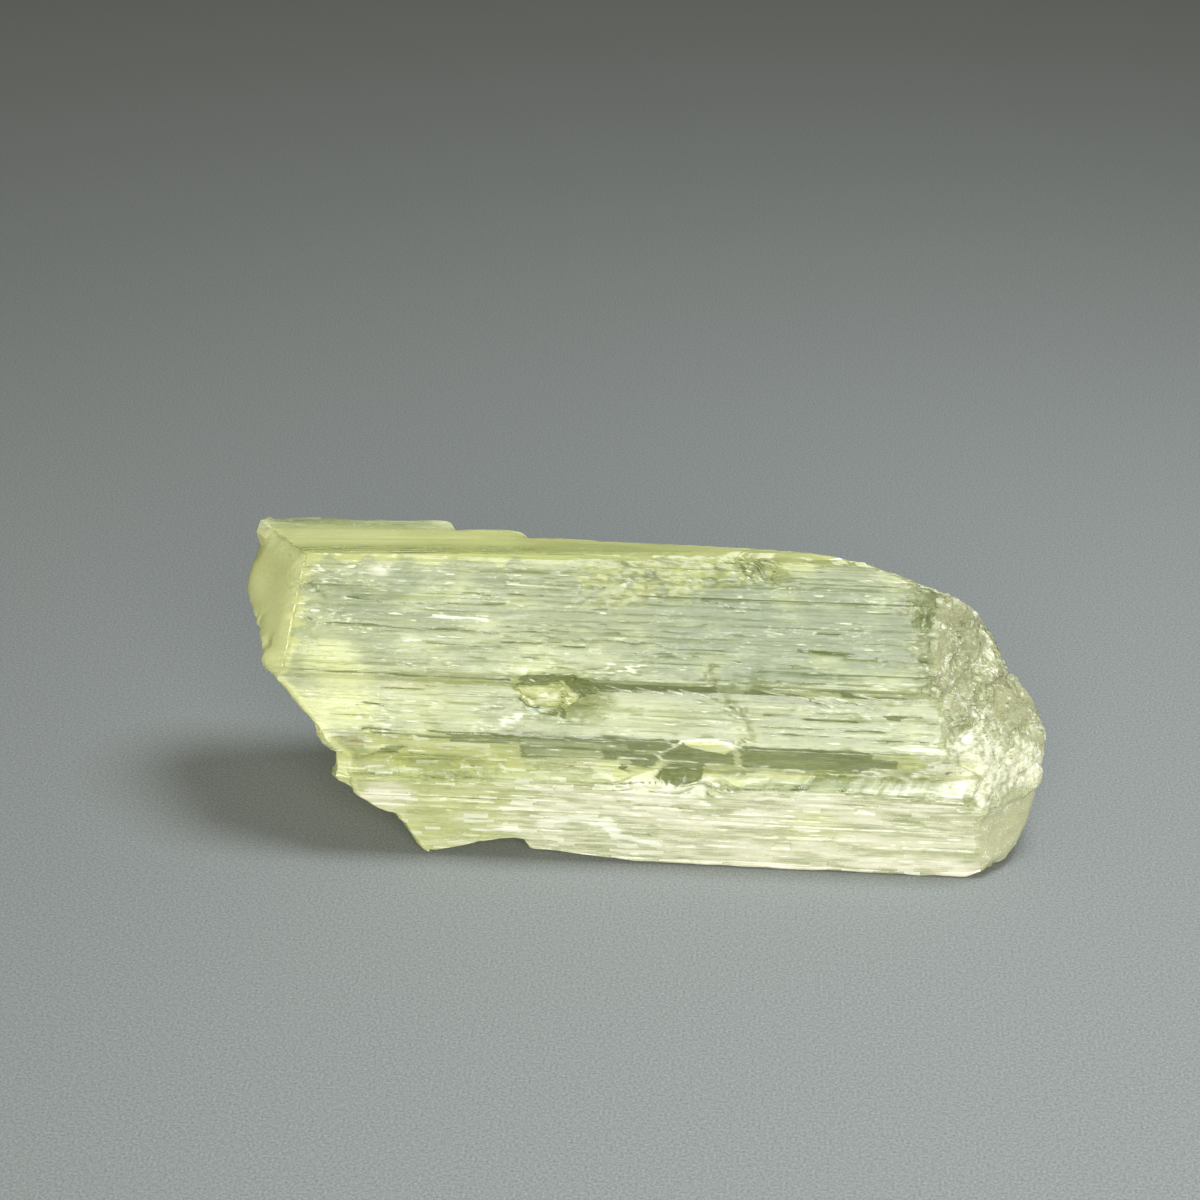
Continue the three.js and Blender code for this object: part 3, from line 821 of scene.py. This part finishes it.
def broken_flakes(gem, chipped, upper):
    """Larger flakes in the break: white ones, dark green ones between them, and chains of them."""
    flaked = chipped * (0.45 + 0.55 * upper)
    glint = facets(gem, flaked, 22000, (11, -5.5, -0.5), (19, 5.5, 13.8), 0.3, 0.05)
    gem.add(chalk=0.55 * chipped * ramp(glint, 0.88, 0.92) * (0.4 + 0.6 * upper))
    gem.add(deep=0.4 * chipped * upper * ramp(glint, 0.14, 0.1))
    for points, reach in (
        ([(12.0, -2.45, 10.55), (12.7, -2.7, 10.1)], 0.3),
        ([(12.1, -1.7, 11.95), (12.1, -1.8, 11.7)], 0.22), ([(11.9, -2.95, 9.7), (12.3, -2.95, 9.7)], 0.2),
        ([(13.1, -2.9, 8.7), (13.5, -2.9, 8.4)], 0.35), ([(13.4, -3.6, 7.5), (13.9, -3.7, 7.1)], 0.35),
        ([(11, -4.2, 6.5), (12, -4.2, 6.5)], 0.2),
        ([(15.2, 0.2, 10.4), (15.5, 0, 9.9), (16.1, -0.3, 9), (16.5, -0.3, 8)], 0.35),
        ([(14.2, -2.7, 7.8), (15.3, -2.2, 6.8), (15.9, -2.1, 6.4)], 0.5),
    ):
        chain = ragged_seam(gem, points, reach)
        gem.add(chalk=0.65 * chain, frost=chain)
    for points, reach in (
        ([(12.3, -1.1, 12.9), (12.7, -1.4, 12.35), (12.4, -2.0, 11.35)], 0.35),
        ([(15.0, -1.3, 8.8), (15.2, -1.8, 7.6)], 0.5), ([(14.1, -1.8, 9.6), (14.4, -2.3, 8.8)], 0.4),
    ):
        dark = seam(gem, points, reach)
        gem.add(deep=0.35 * dark)
        gem.fade(dark, "chalk")
        gem.depth += 0.12 * dark


def smooth_facet(gem, facet):
    """The smooth facet under the break, with a white rim where it meets the faces beside it."""
    wavy = gem.hills(0.8, 0.25, (gem.y, gem.z))
    gem.tone += 0.6 * facet
    gem.add(tan=0.25 * facet, rose=0.4 * facet, warm=0.5 * facet * (0.5 - 0.5 * wavy))
    top = [(15.2, -4.7, 3.4), (15.8, -4.3, 3.1), (16.4, -3.7, 3.2), (17.2, -2.9, 2.9), (17.9, -2.2, 3.2)]
    for points, reach, white in (
        (top, 0.5, 0.6),
        ([(15.4, -4.8, 3), (15.8, -4.5, 2.3), (15.6, -4.7, 1.5), (15.9, -4.5, 0.9)], 0.3, 0.6),
        ([(15.9, -4.6, 0.9), (16.5, -4.05, 0.8), (16.9, -3.7, 1.3)], 0.3, 0.5),
    ):
        uneven = 0.6 + 0.4 * gem.hills(0.6, 0.5, (gem.x + gem.y, gem.z))
        gem.add(chalk=white * seam(gem, points, reach) * uneven)
    seam(gem, [(16.3, -4.1, 1.4), (16.9, -3.6, 1.9), (17.4, -2.9, 2.4)], 0.16, deep=0.3)


# The edge between the front and the broken right end, from the top down.
RIGHT_EDGE = (
    (12.6, -1.4, 12.5),
    (12.4, -2.4, 10.7),
    (12.9, -3.1, 9.4),
    (13.4, -3.4, 8.3),
    (14.1, -3.7, 7.1),
    (14.5, -4.2, 6.4),
    (14.8, -4.3, 5.5),
    (15.1, -4.4, 4.7),
    (15.1, -4.9, 4.0),
    (15.7, -4.8, 1.2),
)


def outline(gem):
    """Knobs and hollows that the left end and the lower right corner show in outline."""
    for place, reach, depth in (
        ((-17.9, 1.9, 13.1), 0.9, -0.25), ((-18.1, 1.3, 12.4), 0.8, 0.16),
        ((-18.1, 0.5, 11.2), 1.4, -0.15), ((-17.1, -2.1, 9.35), 0.5, 0.25),
        ((-17.0, -2.7, 8.7), 0.8, -0.2), ((-13.5, -4.3, 4.0), 0.85, -0.85),
        ((-14.9, -3.9, 6.4), 0.5, 0.12), ((-14.3, -4.1, 5.4), 1.1, -0.35),
        ((15.7, -4.9, 0.1), 0.9, 0.3), ((16.4, -4.3, 0.0), 1.0, 0.4),
        ((17.75, -1.1, 5.9), 0.8, 0.4), ((17.9, -1.6, 4.6), 1.0, -0.15),
    ):
        bite(gem, place, reach, depth)
    chips(gem, RIGHT_EDGE, 34, (0.3, 0.8), (0.06, 0.2))
    chips(gem, [(-17.6, 1.5, 13.2), (-15.7, -0.9, 13.2)], 6, (0.5, 0.9), (0.03, 0.1))


def carve(gem):
    outline(gem)
    worn_edges(gem)
    zones(gem)
    front_texture(gem)
    other_texture(gem)
    upper_face(gem)
    dark_line(gem)
    lower_band(gem)
    groove(gem)
    groove_plates(gem)
    pit(gem)
    cross_break(gem)
    lower_face(gem)
    upper_breaks(gem)
    broken_end(gem)


def mesh_of_grid(name, grid, masks):
    """A closed mesh. The first and the last point of each line are the two poles."""
    count, length = grid.shape[:2]
    rings = length - 2
    points = grid[:, 1:-1].reshape(-1, 3)
    poles = np.stack([grid[:, 0].mean(0), grid[:, -1].mean(0)])
    left_pole, right_pole = len(points), len(points) + 1
    index = np.arange(count * rings).reshape(count, rings)
    following = np.roll(index, -1, axis=0)
    quads = np.stack([index[:, :-1], following[:, :-1], following[:, 1:], index[:, 1:]], axis=-1)
    left_fan = [(left_pole, int(b), int(a)) for a, b in zip(index[:, 0], following[:, 0])]
    right_fan = [(right_pole, int(a), int(b)) for a, b in zip(index[:, -1], following[:, -1])]
    mesh = bpy.data.meshes.new(name)
    faces = quads.reshape(-1, 4).tolist() + left_fan + right_fan
    mesh.from_pydata(np.concatenate([points, poles]).tolist(), [], faces)
    for mask, values in masks.items():
        layer = mesh.attributes.new(mask, "FLOAT", "POINT")
        at_poles = [values[:, 0].mean(), values[:, -1].mean()]
        values = np.concatenate([values[:, 1:-1].reshape(-1), at_poles])
        layer.data.foreach_set("value", values.astype(np.float32))
    return mesh


# ---- Materials ----
class Value:
    """A number that a node gives, for use in sums."""

    def __init__(self, nodes, socket):
        self.nodes, self.socket = nodes, socket

    def __add__(self, other):
        return self.nodes.math("ADD", self, other)

    def __sub__(self, other):
        return self.nodes.math("SUBTRACT", self, other)

    def __mul__(self, other):
        return self.nodes.math("MULTIPLY", self, other)

    def __truediv__(self, other):
        return self.nodes.math("DIVIDE", self, other)

    def most(self, other):
        """The larger of the two."""
        return self.nodes.math("MAXIMUM", self, other)

    def ranged(self, low, high, to_low=0.0, to_high=1.0):
        """Maps low..high to to_low..to_high, and stops at both ends."""
        inputs = {"Value": self, "From Min": low, "From Max": high, "To Min": to_low, "To Max": to_high}
        return self.nodes.value("MapRange", inputs)


class Nodes:
    """A short way to add linked nodes to a material or a world. Textures follow the object's own axes."""

    def __init__(self, owner):
        owner.use_nodes = True
        self.tree = owner.node_tree
        self.tree.nodes.clear()
        if isinstance(owner, bpy.types.Material):
            self.place = self.add("TexCoord").outputs["Object"]

    def add(self, kind, inputs=None, **settings):
        node = self.tree.nodes.new("ShaderNode" + kind)
        for key, value in settings.items():
            setattr(node, key, value)
        for key, value in (inputs or {}).items():
            if isinstance(value, Value):
                value = value.socket
            if isinstance(value, bpy.types.NodeSocket):
                self.tree.links.new(value, node.inputs[key])
            else:
                node.inputs[key].default_value = value
        return node

    def value(self, kind, inputs, output=0, **settings):
        return Value(self, self.add(kind, inputs, **settings).outputs[output])

    def math(self, operation, first, second=0.0):
        return self.value("Math", {0: first, 1: second}, operation=operation)

    def between(self, factor, first, second):
        """A number between two."""
        return self.value("Mix", {0: factor, 2: first, 3: second}, data_type="FLOAT")

    def blend(self, factor, first, second):
        """A colour between two, each given as RGB or as a socket."""
        inputs = {0: factor}
        for key, colour in ((6, first), (7, second)):
            inputs[key] = colour if isinstance(colour, bpy.types.NodeSocket) else (*colour, 1)
        return self.add("Mix", inputs, data_type="RGBA").outputs[2]

    def noise(self, scale, **inputs):
        """The scale is given in cells per metre along x, y and z."""
        moved = self.add("Mapping", {"Vector": self.place, "Scale": scale}).outputs[0]
        settings = {"Vector": moved, "Scale": 1, "Detail": 3, "Roughness": 0.6}
        return self.value("TexNoise", {**settings, **inputs}, "Fac")

    def attribute(self, name):
        return self.value("Attribute", {}, "Fac", attribute_name=name)


SPODUMENE_IOR = 1.66
INNER_COLOUR = (0.96, 0.967, 0.42, 1)  # what light turns to on its way through the crystal
INNER_DENSITY = 95
BASE_COLOURS = ((0.54, 0.60, 0.34), (0.87, 0.89, 0.57))  # where tone is 0, and where it is 1
SHADE_COLOUR = (0.52, 0.57, 0.36, 1)
GLINT_COLOUR = (1.0, 1.0, 0.82)
PAPER_COLOURS = ((0.18, 0.195, 0.19), (0.33, 0.345, 0.34))

# How each mask looks: its colour and how milky it is.
LOOKS = {
    # The chalk colour also serves painted highlights and glints, deep painted shade in cracks and recesses,
    # warm a painted glow and cool a painted sheen in places.
    "olive": ((0.88, 0.90, 0.38), 0.52),
    "cool": ((0.395, 0.47, 0.285), 0.42),
    "warm": ((0.93, 0.95, 0.48), 0.62),
    "rose": ((0.99, 0.95, 0.76), 0.78),
    "tan": ((0.66, 0.63, 0.41), 0.55),
    "chalk": ((0.98, 0.98, 0.82), 0.85),
    "deep": ((0.53, 0.60, 0.37), 0.18),
    "stain": ((0.35, 0.22, 0.10), 0.9),
}

# How far each mask is broken up into crisp streaks. The others stay soft.
TORN = {"olive": 0.35, "cool": 0.3, "warm": 0.35, "rose": 0.4, "chalk": 0.7, "deep": 0.75}


def threads(nodes, scale, width):
    """Thin threads along the crystal, where a stretched noise crosses its middle value."""
    wave = nodes.noise(scale, Detail=2)
    away = nodes.math("ABSOLUTE", wave - 0.5)
    return away.ranged(0.0, width, 1.0, 0.0)


def threads_in_patches(nodes, strength, scale, width):
    patches = nodes.noise((scale[0] * 2.2, scale[1] * 0.2, scale[2] * 0.2))
    shown = patches.ranged(0.45, 0.58, 0.0, strength)
    return threads(nodes, scale, width) * shown


def torn(nodes, mask, streaks, share):
    """A soft mask broken up along fine streaks, so that its edge is ragged and crisp."""
    pushed = mask + streaks.ranged(0.3, 0.7, -0.3, 0.3)
    return nodes.between(share, mask, pushed.ranged(0.4, 0.6))


def fine_flecks(nodes):
    """Bright flecks finer than the mesh: painted glints."""
    dashes = nodes.noise((2400, 11000, 11000), Detail=1)
    dots = nodes.noise((7000, 14000, 14000), Detail=0)
    patches = nodes.noise((420, 1500, 1500))
    bright = dashes.ranged(0.6, 0.68).most(dots.ranged(0.7, 0.76))
    return bright * patches.ranged(0.42, 0.62)


def random_of(nodes, number, second=0.0):
    """The same random value each time for the same one or two whole numbers."""
    vector = nodes.add("CombineXYZ", {0: number, 1: second}).outputs[0]
    return nodes.value("TexWhiteNoise", {"Vector": vector}, "Value", noise_dimensions="3D")


def boxes(nodes, length, height):
    """Rows of crisp boxes along the crystal, each with a random value."""
    x, y, z = (Value(nodes, socket) for socket in nodes.add("SeparateXYZ", {0: nodes.place}).outputs)
    wander = nodes.noise((0.4 / length, 0.3 / height, 0.3 / height), Detail=1)
    up = z + y * 0.7  # the faces lean, so rows are counted along a slanted line
    row = nodes.math("FLOOR", up / height + wander * 3.0)
    shift = random_of(nodes, row)
    stretch = shift.ranged(0.0, 1.0, 0.5 / length, 1.5 / length)
    box = nodes.math("FLOOR", x * stretch + shift * 57.0)
    return random_of(nodes, box, row)


def crystal_colour(nodes, masks, detail):
    """The surface's colour, and how milky it is."""
    tone = masks["tone"] + detail * 0.4
    colour = nodes.blend(tone, *BASE_COLOURS)
    milk = nodes.between(masks["front"], 0.3, tone.ranged(0.0, 1.0, 0.3, 0.55))
    for mask, (tint, milkiness) in LOOKS.items():
        colour = nodes.blend(masks[mask], colour, tint)
        milk = nodes.between(masks[mask], milk, milkiness)
    dark = tone.ranged(0.0, 0.5, 0.6, 0.0) + detail.ranged(-0.4, 0.0, 0.6, 0.0)
    inputs = {0: nodes.math("MINIMUM", dark, 0.85), 6: colour, 7: SHADE_COLOUR}
    shaded = nodes.add("Mix", inputs, data_type="RGBA", blend_type="MULTIPLY")
    return nodes.blend(detail.ranged(0.05, 0.35, 0.0, 0.7), shaded.outputs[2], GLINT_COLOUR), milk


def crystal_material():
    material = bpy.data.materials.new("hiddenite")
    nodes = Nodes(material)
    masks = {mask: nodes.attribute(mask) for mask in MASKS}
    front, frost, blocky = masks["front"], masks["frost"], masks["blocky"]

    def paint(mask, strength):
        masks[mask] = masks[mask].most(strength)

    tearing = nodes.noise((450, 12000, 12000), Detail=3)
    for mask, share in TORN.items():
        masks[mask] = torn(nodes, masks[mask], tearing, share)
    lined = front.most(0.35)
    # Fine painted glints go over the front and the frosted break.
    sparkling = (front * 0.75).most(frost)
    # Dark threads are painted shade of fine grooves, and bright threads painted highlights along the striae.
    paint("deep", threads_in_patches(nodes, 0.7, (120, 5200, 5200), 0.011) * lined)
    bright_threads = threads_in_patches(nodes, 0.5, (170, 7300, 7300), 0.012) * lined
    flecks = fine_flecks(nodes) * sparkling
    paint("chalk", bright_threads)
    paint("chalk", flecks)
    streaks = nodes.noise((230, 9000, 9000), Detail=4)
    speckle = nodes.noise((4000, 9000, 9000), Detail=2)
    texture = streaks * 0.65 + speckle * 0.35
    textured = sparkling.most(0.4)
    detail = texture.ranged(0.35, 0.65, -0.17, 0.17) * textured
    wide = boxes(nodes, 2.0 * MM, 0.4 * MM)
    narrow = boxes(nodes, 0.9 * MM, 0.13 * MM)
    paint("chalk", narrow.ranged(0.88, 0.92, 0.0, 0.6) * blocky)
    box_tone = wide.ranged(0.0, 1.0, -0.15, 0.12) + narrow.ranged(0.0, 1.0, -0.22, 0.2)
    detail = detail + box_tone * blocky
    # White specks of salt on the frosted break are painted glints.
    salt = nodes.noise((5500, 5500, 5500), Detail=2, Roughness=0.9)
    paint("chalk", salt.ranged(0.58, 0.64, 0.0, 0.7) * frost)
    detail = detail - salt.ranged(0.46, 0.38, 0.0, 0.3) * frost
    cloud = nodes.noise((420, 800, 800))
    for mask, low, high in (("warm", 0.5, 0.3), ("cool", 0.5, 0.7)):
        paint(mask, cloud.ranged(low, high, 0, 0.5) * front)

    fine = nodes.noise((140, 12000, 12000))
    grain = nodes.noise((7000, 7000, 7000))
    height = nodes.between(frost, fine * lined, grain * 3.0)
    bump = nodes.add("Bump", {"Height": height, "Strength": 0.5, "Distance": 0.025 * MM})
    colour, milk = crystal_colour(nodes, masks, detail)
    rough = nodes.between(front, streaks.ranged(0.35, 0.65, 0.1, 0.24), 0.33)
    rough = nodes.between(frost.most(masks["chalk"]), rough, 0.45)
    rough = nodes.between(masks["deep"], rough, 0.12)
    inputs = {"Normal": bump.outputs[0], "Base Color": colour, "Roughness": rough, "IOR": SPODUMENE_IOR}
    inputs["Transmission Weight"] = nodes.math("SUBTRACT", 1.0, milk)
    shader = nodes.add("BsdfPrincipled", inputs)
    depth = nodes.add("VolumeAbsorption", {"Color": INNER_COLOUR, "Density": INNER_DENSITY})
    nodes.add("OutputMaterial", {"Surface": shader.outputs[0], "Volume": depth.outputs[0]})
    return material


def paper_material():
    material = bpy.data.materials.new("grey_paper")
    nodes = Nodes(material)
    grain = nodes.noise((9000, 9000, 9000))
    tone = nodes.blend(grain.ranged(0.3, 0.7), *PAPER_COLOURS)
    shader = nodes.add("BsdfPrincipled", {"Base Color": tone, "Roughness": 0.9})
    nodes.add("OutputMaterial", {"Surface": shader.outputs[0]})
    return material


# ---- Stage ----
def build_floor():
    bpy.ops.mesh.primitive_plane_add(size=3, location=(0, 0.6, -FLOOR_GAP))
    floor = bpy.context.object
    floor.name = "paper"
    floor.data.materials.append(paper_material())


def area_light(name, place, aim, size, power, colour):
    data = bpy.data.lights.new(name, "AREA")
    data.shape = "DISK"
    data.size = size
    data.energy = power
    data.color = colour
    light = bpy.data.objects.new(name, data)
    bpy.context.scene.collection.objects.link(light)
    light.location = place
    light.rotation_euler = (Vector(aim) - Vector(place)).to_track_quat("-Z", "Y").to_euler()


def build_light():
    world = bpy.data.worlds.new("studio")
    bpy.context.scene.world = world
    nodes = Nodes(world)
    sky = nodes.add("Background", {"Color": (1.0, 0.975, 0.82, 1), "Strength": 0.24})
    nodes.add("OutputWorld", {"Surface": sky.outputs[0]})
    area_light("overhead", (0.038, 0.004, 0.113), (0, 0, 0), 0.048, 0.103, (0.93, 1.0, 1.06))
    area_light("front", (0.02, -0.15, 0.06), (0, -0.01, 0.005), 0.14, 0.28, (0.99, 1.0, 0.96))


def build_camera():
    azimuth, elevation = math.radians(CAMERA_TURN), math.radians(CAMERA_RISE)
    aim = Vector(CAMERA_AIM) * MM
    away = math.cos(elevation)
    back = Vector((math.sin(azimuth) * away, -math.cos(azimuth) * away, math.sin(elevation)))
    data = bpy.data.cameras.new("camera")
    data.sensor_width = CAMERA_SENSOR
    data.lens = CAMERA_LENS
    data.clip_start = 0.005
    camera = bpy.data.objects.new("camera", data)
    bpy.context.scene.collection.objects.link(camera)
    camera.location = aim + back * CAMERA_DISTANCE
    camera.rotation_euler = (-back).to_track_quat("-Z", "Y").to_euler()
    bpy.context.scene.camera = camera


def build_crystal():
    gem = Gem(*surface_grid(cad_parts[CRYSTAL]))
    carve(gem)
    low, high = np.array(CAD_BOX[0]), np.array(CAD_BOX[1])
    grid = np.clip(gem.carved() * MM, low, high)
    mesh = mesh_of_grid("crystal", grid, {mask: getattr(gem, mask) for mask in MASKS})
    mesh.materials.append(crystal_material())
    mesh.shade_smooth()
    mesh.set_sharp_from_angle(angle=math.radians(CREASE_DEGREES))
    crystal = bpy.data.objects.new("crystal", mesh)
    bpy.context.scene.collection.objects.link(crystal)
    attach(crystal, "root")
    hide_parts(CRYSTAL)


scene = bpy.context.scene
scene.view_settings.view_transform = "Standard"
scene.cycles.max_bounces = 32
scene.cycles.glossy_bounces = 24
scene.cycles.transmission_bounces = 32
build_camera()
build_floor()
build_light()
build_crystal()
